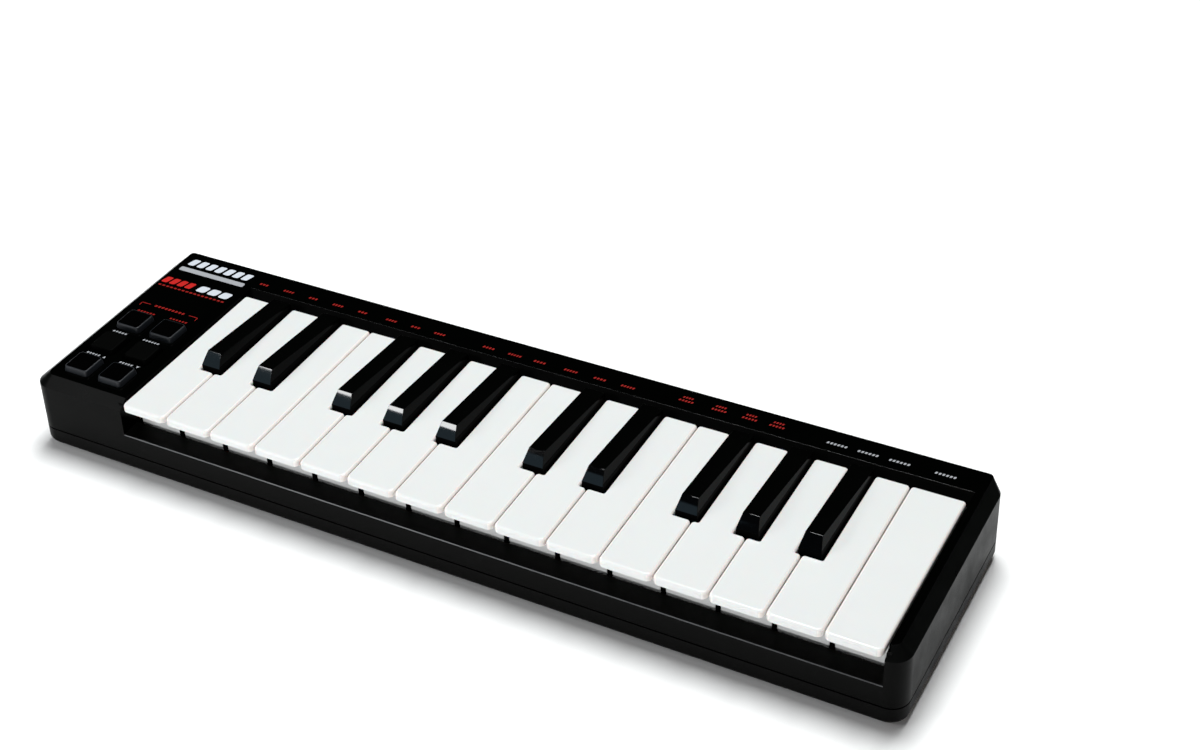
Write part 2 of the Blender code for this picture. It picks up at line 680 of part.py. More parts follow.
def cable_socket():
    """Metal socket shell with its tongue, open towards the left side."""
    back = SOCKET_FACE_X + SOCKET_DEPTH
    half_width, half_height = SOCKET_WIDTH / 2, SOCKET_HEIGHT / 2
    low = (SOCKET_FACE_X, SOCKET_Y - half_width, SOCKET_Z - half_height)
    shell = box("cable_socket", low, (back, SOCKET_Y + half_width, SOCKET_Z + half_height))
    inner_width, inner_height = half_width - SOCKET_SHELL, half_height - SOCKET_SHELL
    mouth_low = (SOCKET_FACE_X - PAST, SOCKET_Y - inner_width, SOCKET_Z - inner_height)
    cut(shell, box("mouth", mouth_low, (back - SOCKET_BACK, SOCKET_Y + inner_width, SOCKET_Z + inner_height)))
    half_tongue = TONGUE_WIDTH / 2
    low = (SOCKET_FACE_X + TONGUE_SETBACK, SOCKET_Y - half_tongue, SOCKET_Z + TONGUE_HEIGHTS[0])
    high = (back - SOCKET_BACK + OVERLAP, SOCKET_Y + half_tongue, SOCKET_Z + TONGUE_HEIGHTS[1])
    add(shell, box("tongue", low, high))
    return finish(shell, (SOCKET_FACE_X, SOCKET_Y, SOCKET_Z), ((0.6, 0.6, 0.6), 0.3, 1.0))


# Fasteners ---------------------------------------------------------------------------


def screw(name, place, seat, reach, upwards):
    """Pan-head screw whose head meets the height seat, with its shank pointing up or down."""
    way = 1 if upwards else -1
    head_low, head_high = sorted((seat - way * HEAD_THICKNESS, seat))
    item = prism(name, circle(place, SCREW_HEAD, 10), head_low, head_high)
    low, high = sorted((seat - way * OVERLAP, seat + way * reach))
    add(item, prism("shank", circle(place, SCREW_SHANK, 8), low, high))
    return finish(item, (*place, seat), ((0.35, 0.35, 0.36), 0.35, 1.0))


def screws():
    """Case screws from below, chassis screws from above, board screws from below."""
    for i, place in enumerate(CASE_SCREWS, 1):
        screw(f"case_screw_{i}", place, COUNTERBORE_TOP - CLEARANCE, CASE_SCREW_REACH, True)
    for i, place in enumerate(FRAME_SCREWS, 1):
        screw(f"frame_screw_{i}", place, FRAME_TOP + CLEARANCE, FRAME_SCREW_REACH, False)
    for i, place in enumerate(BOARD_POSTS, 1):
        screw(f"board_screw_{i}", place, CONTROL_BOARD_BOTTOM - CLEARANCE, BOARD_SCREW_REACH, True)


def build():
    """Makes every piece of the keyboard."""
    clear_scene()
    top_case()
    bottom_case()
    for i in range(WHITE_COUNT):
        white_key(i)
    for number, gap in enumerate(black_gaps(), 1):
        black_key(gap, number)
    key_frame()
    pivot_rod()
    stop_felts()
    contact_strips()
    boards()
    ribbon_cable()
    buttons()
    button_membrane()
    cable_socket()
    screws()
    for i, place in enumerate(FOOT_PLACES, 1):
        foot(i, place)


build()
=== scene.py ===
"""Visual model of a slim two-octave keyboard controller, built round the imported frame.

Lengths named in millimetres are turned into metres with MM where a mesh is made.
"""

import json
import math

import bmesh
import bpy
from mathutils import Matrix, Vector


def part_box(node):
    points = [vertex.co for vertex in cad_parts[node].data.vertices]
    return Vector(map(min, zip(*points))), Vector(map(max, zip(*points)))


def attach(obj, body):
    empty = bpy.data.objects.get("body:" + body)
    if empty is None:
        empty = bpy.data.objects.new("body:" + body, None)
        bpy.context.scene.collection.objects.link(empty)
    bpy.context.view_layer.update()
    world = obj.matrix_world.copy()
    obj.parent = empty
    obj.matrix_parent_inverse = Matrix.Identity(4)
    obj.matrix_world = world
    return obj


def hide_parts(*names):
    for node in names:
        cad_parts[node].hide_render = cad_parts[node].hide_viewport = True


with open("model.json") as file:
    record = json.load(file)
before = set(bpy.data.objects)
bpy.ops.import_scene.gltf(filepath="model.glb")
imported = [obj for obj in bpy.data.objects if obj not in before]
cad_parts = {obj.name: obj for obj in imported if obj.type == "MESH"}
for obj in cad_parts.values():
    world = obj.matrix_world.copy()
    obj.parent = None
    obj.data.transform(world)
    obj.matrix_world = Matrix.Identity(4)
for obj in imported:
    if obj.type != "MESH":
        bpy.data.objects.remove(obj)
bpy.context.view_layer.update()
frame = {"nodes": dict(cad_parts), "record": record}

MM = 0.001
WHITE_COUNT = 15
BLACK_COUNT = 10

# How far joined solids reach into each other, and cutting tools past what they cut
OVERLAP = 0.5
PAST = 1.0

# Upper case, in millimetres. OPENING gives X at both ends, RAIL_CHAMFER a run and a drop, and
# SLOPE_FOOT and LEDGE_REAR a place in Y and Z. TOP_CORNERS start at the front left corner.
WALL = 2.0
WALL_INSIDE = 1.5
CORNER = 6.5
TOP_CORNERS = (3.0, 3.0, 1.5, 1.5)
CHAMFER_RUN = 4.1
CHAMFER_DROP = 3.4
INNER_WALL = 1.6
OPENING = (-128.8, 163.0)
OPENING_REAR = 36.4
SLOPE_FOOT = (33.2, 26.9)
SLOPE_HALF = 1.7
RAIL_TOP = 17.0
RAIL_CHAMFER = (0.22, 0.26)
LEDGE_REAR = (-39.4, 17.8)
LEDGE_SPARE = 0.7
LIP_THICKNESS = 1.6
LIP_BOTTOM = 13.5
SHADOW_GROOVE = 0.8
GUIDE_WIDTH = 0.7
GUIDE_TOP = 22.0
PARTING_EXTRA = 0.18
EDGE_ROUNDING = 0.5

# Lower case, in millimetres. SCREW_HEAD gives a radius and a depth.
UNDERSIDE_ROUNDING = 3.2
TRAY_ROUNDING = 0.3
TRAY_LIP = 1.2
FOOT_GAP = 0.4
SCREW_HEAD = (2.5, 1.8)
SCREW_BORE = 1.45

# Keys, in millimetres
KEY_REAR = 31.3
WHITE_GAP = 0.4
CAP_THICKNESS = 2.8
CAP_ROUNDING = 1.15
CAP_LOWER_ROUNDING = 0.25
CAP_CORNERS = (2.3, 1.3, 0.5, 1.3)
BODY_FRONT = -38.8
BODY_INSET = 0.55
BODY_BOTTOM = 12.0
SKIN = 1.3
CUT_GAP = 0.75
CUT_LEAD = 0.5
BLACK_SHOULDER = 32.3
BLACK_REAR_TOP = 33.0
BLACK_TOP_HALF = 2.95
BLACK_TOP_FRONT = -12.5
BLACK_BULGE = 0.1
BLACK_ROUNDING = 0.75
BLACK_FOOT = 0.8
TAIL_INSET = 1.6
TAIL_HALF = 2.4
EYE_RADIUS = 3.0
EYE_BORE = 1.85

# Buttons, in millimetres. Pairs give a size and a corner radius, but the two with SIZES give the
# size of a cap at its foot and at its top.
BUTTON_HOLE = (11.8, 1.2)
BUTTON_FLANGE = (13.2, 1.3)
LIT_SIZES = (11.0, 10.2)
PLAIN_SIZES = (10.8, 10.0)
PLAIN_SINK = 0.2
CAP_CORNER = 1.3
RECESS = (9.5, 1.0)
RECESS_DEPTH = 0.5
INSET = (9.4, 0.95)
INSET_SINK = 0.06

# Printed marks: sideways lean per height, and heights over the case in millimetres
SLANT = 0.25
PRINT_HEIGHTS = (0.005, 0.04)
LEGEND_Y = 40.3

# Camera that looks down on the keys from the player's right
CAMERA_PLACE = (0.30833, -0.50200, 0.47597)
CAMERA_TURN = (1.01368, 0.05537, 0.51692)
CAMERA_LENS = 62.54
CAMERA_SHIFT = (0.10135, -0.11667)


# Materials ---------------------------------------------------------------------------


def node(tree, kind, **inputs):
    """Adds a shader node and sets its inputs; a name such as Noise_Scale sets Noise Scale."""
    made = tree.nodes.new(kind)
    for name, value in inputs.items():
        made.inputs[name.replace("_", " ")].default_value = value
    return made


def plastic(name, color, roughness, spread=0.06, tint=0.12, grain=0.0, grain_size=0.4, **extra):
    """Moulded plastic: uneven gloss and colour, and a fine surface grain if grain is set.

    grain is a depth and grain_size a width, both in millimetres.
    """
    made = bpy.data.materials.new(name)
    made.use_nodes = True
    tree = made.node_tree
    shader = tree.nodes["Principled BSDF"]
    for key, value in extra.items():
        shader.inputs[key.replace("_", " ")].default_value = value
    place = tree.nodes.new("ShaderNodeTexCoord")
    patches = node(tree, "ShaderNodeTexNoise", Scale=90.0, Detail=5.0, Roughness=0.6)
    tree.links.new(place.outputs["Object"], patches.inputs["Vector"])
    gloss = node(
        tree, "ShaderNodeMapRange",
        From_Min=0.3, From_Max=0.7, To_Min=max(roughness - spread, 0.02), To_Max=roughness + spread,
    )
    tree.links.new(patches.outputs["Fac"], gloss.inputs["Value"])
    tree.links.new(gloss.outputs["Result"], shader.inputs["Roughness"])
    ramp = tree.nodes.new("ShaderNodeValToRGB")
    low, high = ramp.color_ramp.elements
    low.position, high.position = 0.3, 0.7
    low.color = (*[c * (1 - tint) for c in color], 1)
    high.color = (*[min(c * (1 + tint), 1) for c in color], 1)
    tree.links.new(patches.outputs["Fac"], ramp.inputs["Fac"])
    tree.links.new(ramp.outputs["Color"], shader.inputs["Base Color"])
    if grain:
        fine = node(tree, "ShaderNodeTexNoise", Scale=1 / (grain_size * MM), Detail=2.0)
        tree.links.new(place.outputs["Object"], fine.inputs["Vector"])
        bump = node(tree, "ShaderNodeBump", Strength=1.0, Distance=grain * MM)
        tree.links.new(fine.outputs["Fac"], bump.inputs["Height"])
        tree.links.new(bump.outputs["Normal"], shader.inputs["Normal"])
    return made


def metal(name, color, roughness):
    """Drawn or plated steel with uneven gloss."""
    return plastic(name, color, roughness, spread=0.08, tint=0.1, Metallic=1.0)


def felt(name, color):
    """Matted wool: rough, with fibres and a soft sheen."""
    return plastic(
        name, color, 0.9, spread=0.05, tint=0.35, grain=0.15, grain_size=0.5, Sheen_Weight=0.1
    )


def make_materials():
    """Every material by a short name."""
    glow = {"Specular_IOR_Level": 0.4, "Subsurface_Weight": 0.12, "Subsurface_Scale": 0.0012}
    ink = {"tint": 0.04, "Specular_IOR_Level": 0.1}
    return {
        "gloss": plastic(
            "case_gloss", (0.0002, 0.0003, 0.0002), 0.12, spread=0.04, Specular_IOR_Level=0.05
        ),
        "wall": plastic(
            "case_texture", (0.0008, 0.0009, 0.0008), 0.36, grain=0.02, grain_size=0.35,
            Specular_IOR_Level=0.035,
        ),
        "chamfer": plastic(
            "case_chamfer", (0.0014, 0.0016, 0.0015), 0.3, spread=0.04, Specular_IOR_Level=0.08
        ),
        "ledge": plastic(
            "case_ledge", (0.0010, 0.0011, 0.0009), 0.40, spread=0.05, grain=0.01,
            Specular_IOR_Level=0.045,
        ),
        # slope: a darker copy of the case plastic with almost no reflection, painted shade on the slope
        # behind the keys
        "slope": plastic("case_slope_painted_shade", (0.0005, 0.0006, 0.0005), 0.5, Specular_IOR_Level=0.02),
        # edge: a pale, very reflective copy of the case plastic, painted highlight lines along the
        # rail's front edge and the rear edge of the key opening
        "edge": plastic(
            "case_edge_painted_highlight", (0.045, 0.047, 0.050), 0.3, spread=0.03, Specular_IOR_Level=0.9
        ),
        "base": plastic(
            "base_texture", (0.0010, 0.0010, 0.0009), 0.42, grain=0.02, grain_size=0.35,
            Specular_IOR_Level=0.045,
        ),
        "white": plastic(
            "key_white", (0.628, 0.640, 0.634), 0.26, spread=0.01, tint=0.004, grain=0.001,
            grain_size=0.8, **glow,
        ),
        # A darker copy of the key white: painted shade on the key body under the cap's overhang
        "white_under_cap_shade": plastic(
            "key_white_painted_under_cap_shade", (0.50, 0.505, 0.50), 0.4, spread=0.02, tint=0.01,
            Specular_IOR_Level=0.2,
        ),
        # A lighter, warmer copy of the key white: painted warm light on the rounded key sides
        "white_side_painted_light": plastic(
            "key_white_side_painted_warm_light", (0.75, 0.715, 0.69), 0.26, spread=0.01, tint=0.004, **glow
        ),
        "black": plastic(
            "key_black", (0.0003, 0.0004, 0.0006), 0.06, spread=0.02, Specular_IOR_Level=0.5
        ),
        # A dull copy of the key black with almost no reflection: painted shade on the sides and rear of
        # the black keys
        "black_painted_side_shade": plastic(
            "key_black_painted_side_shade", (0.0005, 0.0006, 0.0005), 0.16, spread=0.03, Specular_IOR_Level=0.03
        ),
        # A dead black with no reflection that stands for shade: painted shade in the groove behind the
        # ledge, in the parting gap and low on the black keys
        "painted_shade": plastic(
            "painted_shade_black", (0.0002, 0.0002, 0.0002), 0.5, Specular_IOR_Level=0.01
        ),
        "rim": plastic("button_rim", (0.011, 0.013, 0.016), 0.42, Specular_IOR_Level=0.25),
        "inset": plastic(
            "button_inset", (0.0002, 0.0002, 0.0002), 0.3, spread=0.04, Specular_IOR_Level=0.02
        ),
        "rubber_key": plastic(
            "button_rubber", (0.0004, 0.0005, 0.0004), 0.6, grain=0.02, Specular_IOR_Level=0.02
        ),
        "print_white": plastic("print_white", (0.50, 0.53, 0.58), 0.6, **ink),
        "print_grey": plastic("print_grey", (0.30, 0.31, 0.33), 0.6, **ink),
        "print_red": plastic(
            "print_red", (0.42, 0.012, 0.010), 0.6, tint=0.08, Specular_IOR_Level=0.1
        ),
        "print_dark_red": plastic(
            "print_dark_red", (0.24, 0.008, 0.006), 0.6, tint=0.08, Specular_IOR_Level=0.1
        ),
        "chassis": plastic(
            "chassis_plastic", (0.01, 0.01, 0.011), 0.55, grain=0.02, Specular_IOR_Level=0.2
        ),
        "steel": metal("rod_steel", (0.6, 0.6, 0.62), 0.25),
        "screw": metal("screw_steel", (0.2, 0.2, 0.21), 0.35),
        "socket": metal("socket_steel", (0.62, 0.62, 0.63), 0.25),
        "felt": felt("stop_felt", (0.004, 0.004, 0.0045)),
        "board": plastic("board_laminate", (0.012, 0.09, 0.03), 0.35, tint=0.3),
        "silicone": plastic("dome_silicone", (0.42, 0.44, 0.47), 0.6, Subsurface_Weight=0.1),
        "membrane": plastic("membrane_silicone", (0.05, 0.05, 0.05), 0.6),
        "cable": plastic("cable_plastic", (0.3, 0.3, 0.32), 0.45),
        "foot": plastic("foot_rubber", (0.012, 0.012, 0.012), 0.75, grain=0.03, grain_size=0.5),
    }


# Mesh helpers ------------------------------------------------------------------------


def loft(name, loops):
    """Closed solid through loops of equally many points, given in millimetres."""
    mesh = bmesh.new()
    rings = [[mesh.verts.new(Vector(point) * MM) for point in loop] for loop in loops]
    for low, high in zip(rings, rings[1:]):
        for i in range(len(low)):
            j = (i + 1) % len(low)
            mesh.faces.new((low[i], low[j], high[j], high[i]))
    mesh.faces.new(rings[0])
    mesh.faces.new(rings[-1])
    bmesh.ops.recalc_face_normals(mesh, faces=mesh.faces)
    data = bpy.data.meshes.new(name)
    mesh.to_mesh(data)
    mesh.free()
    item = bpy.data.objects.new(name, data)
    bpy.context.scene.collection.objects.link(item)
    return item


def prism(name, outline, low, high):
    """Solid over an outline in the XY plane, from height low to height high."""
    return loft(name, [[(x, y, z) for x, y in outline] for z in (low, high)])


def bar(name, profile, left, right):
    """Solid along X with a profile in the YZ plane."""
    return loft(name, [[(x, y, z) for y, z in profile] for x in (left, right)])


def box(name, low, high):
    """Solid between two opposite corners."""
    outline = [(low[0], low[1]), (high[0], low[1]), (high[0], high[1]), (low[0], high[1])]
    return prism(name, outline, low[2], high[2])


def circle(centre, radius, sides=48):
    """Points of a circle."""
    angles = [math.tau * (i + 0.5) / sides for i in range(sides)]
    return [(centre[0] + radius * math.cos(a), centre[1] + radius * math.sin(a)) for a in angles]


def rounded(low, high, radii, steps=10):
    """Rectangle with rounded corners: front left, front right, rear right, rear left."""
    corners = (
        (low[0], low[1], 180), (high[0], low[1], 270), (high[0], high[1], 0), (low[0], high[1], 90)
    )
    inward = ((1, 1), (-1, 1), (-1, -1), (1, -1))
    points = []
    for (x, y, start), (across, along), radius in zip(corners, inward, radii):
        cx, cy = x + across * radius, y + along * radius
        for i in range(steps + 1):
            angle = math.radians(start + 90 * i / steps)
            points.append((cx + radius * math.cos(angle), cy + radius * math.sin(angle)))
    return points


def square(centre, size, radius, steps=6):
    """Square with rounded corners round a centre."""
    half = size / 2
    low = (centre[0] - half, centre[1] - half)
    high = (centre[0] + half, centre[1] + half)
    return rounded(low, high, [radius] * 4, steps)


def soften(points, radii, steps=5):
    """Rounds the corners of a polygon; radii holds one radius for each corner."""
    made = []
    count = len(points)
    for i, (corner, radius) in enumerate(zip(points, radii)):
        here = Vector(corner)
        before = (Vector(points[i - 1]) - here).normalized()
        after = (Vector(points[(i + 1) % count]) - here).normalized()
        if radius <= 0:
            made.append(tuple(here))
            continue
        centre = here + (before + after) * radius
        start, end = here + before * radius - centre, here + after * radius - centre
        for k in range(steps + 1):
            turn = math.pi / 2 * k / steps
            made.append(tuple(centre + start * math.cos(turn) + end * math.sin(turn)))
    return made


def combine(target, tool, operation):
    """Adds a solid to another, or cuts it away, and removes it."""
    modifier = target.modifiers.new(operation.lower(), "BOOLEAN")
    modifier.operation = operation
    modifier.solver = "EXACT"
    modifier.object = tool
    apply_modifiers(target)
    bpy.data.objects.remove(tool)


def apply_modifiers(item):
    """Turns an object's modifiers into its mesh."""
    depsgraph = bpy.context.evaluated_depsgraph_get()
    result = bpy.data.meshes.new_from_object(item.evaluated_get(depsgraph))
    item.modifiers.clear()
    item.data = result


def add(target, tool):
    """Joins a solid to another."""
    combine(target, tool, "UNION")


def cut(target, tool):
    """Cuts a solid out of another."""
    combine(target, tool, "DIFFERENCE")


def slice_at(item, axis, places):
    """Splits an object's faces along planes across an axis, so that none bends round a corner."""
    mesh = bmesh.new()
    mesh.from_mesh(item.data)
    normal = [1.0 if i == axis else 0.0 for i in range(3)]
    for place_at in places:
        point = [place_at * MM if i == axis else 0.0 for i in range(3)]
        geometry = mesh.verts[:] + mesh.edges[:] + mesh.faces[:]
        bmesh.ops.bisect_plane(mesh, geom=geometry, plane_co=point, plane_no=normal, dist=1e-7)
    mesh.to_mesh(item.data)
    mesh.free()


def bevel(item, width, segments=3, angle=30):
    """Rounds every edge sharper than an angle, by a width in millimetres."""
    modifier = item.modifiers.new("rounding", "BEVEL")
    modifier.width = width * MM
    modifier.segments = segments
    modifier.limit_method = "ANGLE"
    modifier.angle_limit = math.radians(angle)
    modifier.use_clamp_overlap = True
    modifier.miter_outer = "MITER_ARC"
    apply_modifiers(item)


def shade(item, angle=40):
    """Smooth shading whose normals follow the large faces, with sharp edges above an angle."""
    item.data.shade_smooth()
    item.data.set_sharp_from_angle(angle=math.radians(angle))
    modifier = item.modifiers.new("normals", "WEIGHTED_NORMAL")
    modifier.keep_sharp = True
    modifier.weight = 80


def dress(item, *looks):
    """Gives an object its materials, in slot order."""
    item.data.materials.clear()
    for look in looks:
        item.data.materials.append(look)


def place(item, body, slot_name, *nodes):
    """Rides an object on a CAD body in place of CAD nodes."""
    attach(item, body)
    if nodes:
        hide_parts(*nodes)


def mm_box(name):
    """A CAD node's box in millimetres."""
    low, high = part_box(name)
    return [c / MM for c in low], [c / MM for c in high]


def body_of_node(name):
    """Name of the CAD body that a node belongs to."""
    bodies = frame["record"]["behaviour"]["bodies"]
    return next(body for body, nodes in bodies.items() if name in nodes)


# Case --------------------------------------------------------------------------------


def case_outline(inset, radius):
    """Plan of the case walls, drawn inwards by inset."""
    low, high = mm_box("top_case")
    corner_low = (low[0] + inset, low[1] + inset)
    corner_high = (high[0] - inset, high[1] - inset)
    return rounded(corner_low, corner_high, [radius] * 4)


def case_shell():
    """Outer walls, chamfer and top of the upper case, open below."""
    low, high = mm_box("top_case")
    top, bottom = high[2], low[2]
    walls = case_outline(0, CORNER)
    crown_low = (low[0] + CHAMFER_RUN, low[1] + CHAMFER_RUN)
    crown = rounded(crown_low, (high[0] - CHAMFER_RUN, high[1]), TOP_CORNERS)
    levels = ((walls, bottom + PARTING_EXTRA), (walls, top - CHAMFER_DROP), (crown, top))
    case = loft("top_case_shell", [[(x, y, z) for x, y in plan] for plan, z in levels])
    cut(case, prism("cavity", case_outline(WALL, CORNER - WALL), bottom - 5 * PAST, top - WALL))
    return case


def add_inner_walls(case):
    """Walls at both ends of the keys, a ledge in front of them and a slope behind."""
    low, high = mm_box("top_case")
    ceiling = high[2] - WALL
    front, rear = low[1] + WALL_INSIDE, high[1] - WALL_INSIDE
    for inner, outer in ((OPENING[0], -INNER_WALL), (OPENING[1], INNER_WALL)):
        spare = -math.copysign(0.6, outer)
        sides = sorted((inner + spare, inner + outer))
        add(case, box("inner_wall", (sides[0], front, BODY_BOTTOM), (sides[1], rear, ceiling + OVERLAP)))
    span = (OPENING[0] - LEDGE_SPARE, OPENING[1] + LEDGE_SPARE)
    under = RAIL_TOP - 1.5
    lip_front, lip_rear = LEDGE_REAR[0] - LIP_THICKNESS, LEDGE_REAR[0] + 0.6
    ledge_top = LEDGE_REAR[1] + LEDGE_SPARE
    ledge = [
        (front, under),
        (lip_front, under),
        (lip_front, LIP_BOTTOM),
        (lip_rear, LIP_BOTTOM),
        (lip_rear, ledge_top),
        (front, ledge_top),
    ]
    add(case, bar("ledge", ledge, *span))
    slope_bottom = SLOPE_FOOT[1] - 0.4
    slope = [
        (SLOPE_FOOT[0] - SLOPE_HALF, slope_bottom),
        (SLOPE_FOOT[0] + SLOPE_HALF, slope_bottom),
        (OPENING_REAR + 2.2, ceiling + OVERLAP),
        (SLOPE_FOOT[0] - SLOPE_HALF, ceiling + OVERLAP),
    ]
    add(case, bar("slope", slope, *span))


def cut_opening(case):
    """Opening for the keys, with a chamfered rail, a rising ledge and a groove behind it."""
    low, high = mm_box("top_case")
    front, top = low[1], high[2]
    rear_wall = high[1] - WALL - 0.1
    rise = (LEDGE_REAR[1] - RAIL_TOP) / (LEDGE_REAR[0] - front)
    lean = (OPENING_REAR - SLOPE_FOOT[0]) / (top - SLOPE_FOOT[1])
    run, drop = RAIL_CHAMFER
    steepness = (drop + run * rise) / run
    groove_front, groove_floor = LEDGE_REAR[0] - SHADOW_GROOVE, LEDGE_REAR[1] - SHADOW_GROOVE
    opening = [
        (front - 2 * PAST, RAIL_TOP - drop - 2 * PAST * steepness),
        (front + run, RAIL_TOP + run * rise),
        (groove_front, LEDGE_REAR[1] - SHADOW_GROOVE * rise),
        (groove_front, groove_floor),
        (LEDGE_REAR[0], groove_floor),
        (LEDGE_REAR[0], BODY_BOTTOM - PAST),
        (rear_wall, BODY_BOTTOM - PAST),
        (rear_wall, SLOPE_FOOT[1]),
        SLOPE_FOOT,
        (OPENING_REAR + lean, top + PAST),
        (front - 2 * PAST, top + PAST),
    ]
    cut(case, bar("opening", opening, *OPENING))


def add_guides(case):
    """Small upright guides between the fronts of the white keys."""
    for name in white_names()[1:]:
        gap = mm_box(name)[0][0] - WHITE_GAP / 2
        guide_low = (gap - GUIDE_WIDTH / 2, LEDGE_REAR[0] - OVERLAP, LIP_BOTTOM)
        guide_high = (gap + GUIDE_WIDTH / 2, LEDGE_REAR[0] + 3, GUIDE_TOP)
        add(case, box("guide", guide_low, guide_high))


def cut_holes(case):
    """Holes for the buttons and for the cable socket."""
    low, high = mm_box("top_case")
    for name in button_names():
        hole = square(middle(name), *BUTTON_HOLE)
        cut(case, prism("hole", hole, high[2] - WALL - PAST, high[2] + PAST))
    socket_low, socket_high = mm_box("cable_socket")
    mouth_low = (low[0] - PAST, socket_low[1] - 0.5, socket_low[2] - 0.5)
    mouth_high = (low[0] + WALL + 0.6, socket_high[1] + 0.5, socket_high[2] + 0.5)
    cut(case, box("mouth", mouth_low, mouth_high))


def split_case_faces(case):
    """Splits the case's large faces between the holes, which keeps their shading flat."""
    columns = sorted({middle(name)[0] for name in button_names()})
    rows = sorted({middle(name)[1] for name in button_names()})
    slice_at(case, 0, [*columns, sum(columns) / 2, OPENING[0] - 2.5, OPENING[1] + 2.2])
    slice_at(case, 1, [*rows, rows[0] + 7.8, rows[1] + 7.8, rows[2] + 8.5, OPENING_REAR + 1.5])


CASE_LOOKS = ("wall", "gloss", "ledge", "slope", "edge", "chamfer", "painted_shade")


def case_look(centre, normal, front, top):
    """Which material a face of the upper case takes."""
    inside = OPENING[0] - 0.5 < centre.x < OPENING[1] + 0.5
    tilted = max(abs(c) for c in normal) < 0.985
    behind_keys = centre.y > OPENING_REAR - 5
    # Rounded front edge of the rail: painted highlight line
    if inside and tilted and centre.y < front + 1.2 and abs(centre.z - RAIL_TOP) < 1.2:
        return "edge"
    # Groove behind the ledge: dead black with no reflection, painted shade where the keys meet the ledge
    if inside and centre.z < LEDGE_REAR[1] + 0.1 and abs(centre.y - LEDGE_REAR[0]) < SHADOW_GROOVE:
        return "painted_shade"
    # Rounded rear edge of the key opening: painted highlight line
    if inside and behind_keys and tilted and normal.z > 0.3 and centre.z > top - 0.45:
        return "edge"
    if normal.z > 0.9 and centre.z > top - 1:
        return "gloss"
    if centre.z > top - CHAMFER_DROP and tilted and not inside:
        return "chamfer"
    # Slope behind the keys: darker copy without reflection, painted shade
    if inside and behind_keys:
        return "slope"
    if inside and centre.y > front + 1:
        return "ledge" if centre.z < LEDGE_REAR[1] + 0.5 else "gloss"
    return "wall"


def top_case(looks):
    """Upper case with rounded edges, glossy above and textured on its sides."""
    low, high = mm_box("top_case")
    case = case_shell()
    add_inner_walls(case)
    cut_opening(case)
    add_guides(case)
    cut_holes(case)
    split_case_faces(case)
    bevel(case, EDGE_ROUNDING)
    dress(case, *[looks[look] for look in CASE_LOOKS])
    for face in case.data.polygons:
        look = case_look(face.center / MM, face.normal, low[1], high[2])
        face.material_index = CASE_LOOKS.index(look)
    shade(case)
    place(case, "case", "case_black", "top_case")


def bottom_case(looks):
    """Lower case: tray with a round lower edge and a lip that hides the parting gap."""
    low, high = mm_box("bottom_case")
    loops = []
    for step in range(9):
        turn = math.radians(90 - 90 * step / 8)
        inset = UNDERSIDE_ROUNDING * (1 - math.cos(turn))
        height = UNDERSIDE_ROUNDING * (1 - math.sin(turn))
        loops.append([(x, y, low[2] + height) for x, y in case_outline(inset, CORNER - inset / 2)])
    loops.append([(x, y, high[2] - PARTING_EXTRA) for x, y in case_outline(0, CORNER)])
    tray = loft("bottom_case_tray", loops)
    radius = CORNER - WALL
    lip = case_outline(WALL + 0.15, radius)
    add(tray, prism("lip", lip, high[2] - OVERLAP, high[2] + TRAY_LIP))
    cavity = case_outline(WALL + 1.4, radius - 0.8)
    cut(tray, prism("cavity", cavity, low[2] + WALL, high[2] + 3 * PAST))
    for name in nodes_named("foot"):
        foot_low, foot_high = mm_box(name)
        recess = circle(middle(name), (foot_high[0] - foot_low[0]) / 2 + FOOT_GAP)
        cut(tray, prism("recess", recess, low[2] - PAST, foot_high[2] + 0.3))
    head_radius, head_depth = SCREW_HEAD
    for name in nodes_named("case_screw"):
        head, bore = circle(middle(name), head_radius, 32), circle(middle(name), SCREW_BORE, 24)
        cut(tray, prism("counterbore", head, low[2] - PAST, low[2] + head_depth))
        cut(tray, prism("bore", bore, low[2], high[2]))
    bevel(tray, TRAY_ROUNDING, segments=2)
    dress(tray, looks["base"], looks["painted_shade"])
    # Faces on top of the lip and on the parting edge take a dead black with no reflection: painted shade
    # in the parting gap
    for face in tray.data.polygons:
        if face.center.z / MM > high[2] - 0.35:
            face.material_index = 1
    shade(tray)
    place(tray, "case", "base_black", "bottom_case")


# Keys --------------------------------------------------------------------------------


def white_names():
    """White keys from left to right."""
    return [f"white_key_{i:02d}" for i in range(1, WHITE_COUNT + 1)]


def black_names():
    """Black keys from left to right."""
    return [f"black_key_{i:02d}" for i in range(1, BLACK_COUNT + 1)]


def button_names():
    """Buttons from the rear row to the front row."""
    rows = ("upper", "middle", "lower")
    return [f"button_{row}_{side}" for row in rows for side in ("left", "right")]


def nodes_named(start):
    """CAD nodes whose names start with a word, in order."""
    return sorted(name for name in frame["nodes"] if name.startswith(start))


def middle(name):
    """Middle of a CAD node's box in the XY plane, in millimetres."""
    low, high = mm_box(name)
    return (low[0] + high[0]) / 2, (low[1] + high[1]) / 2


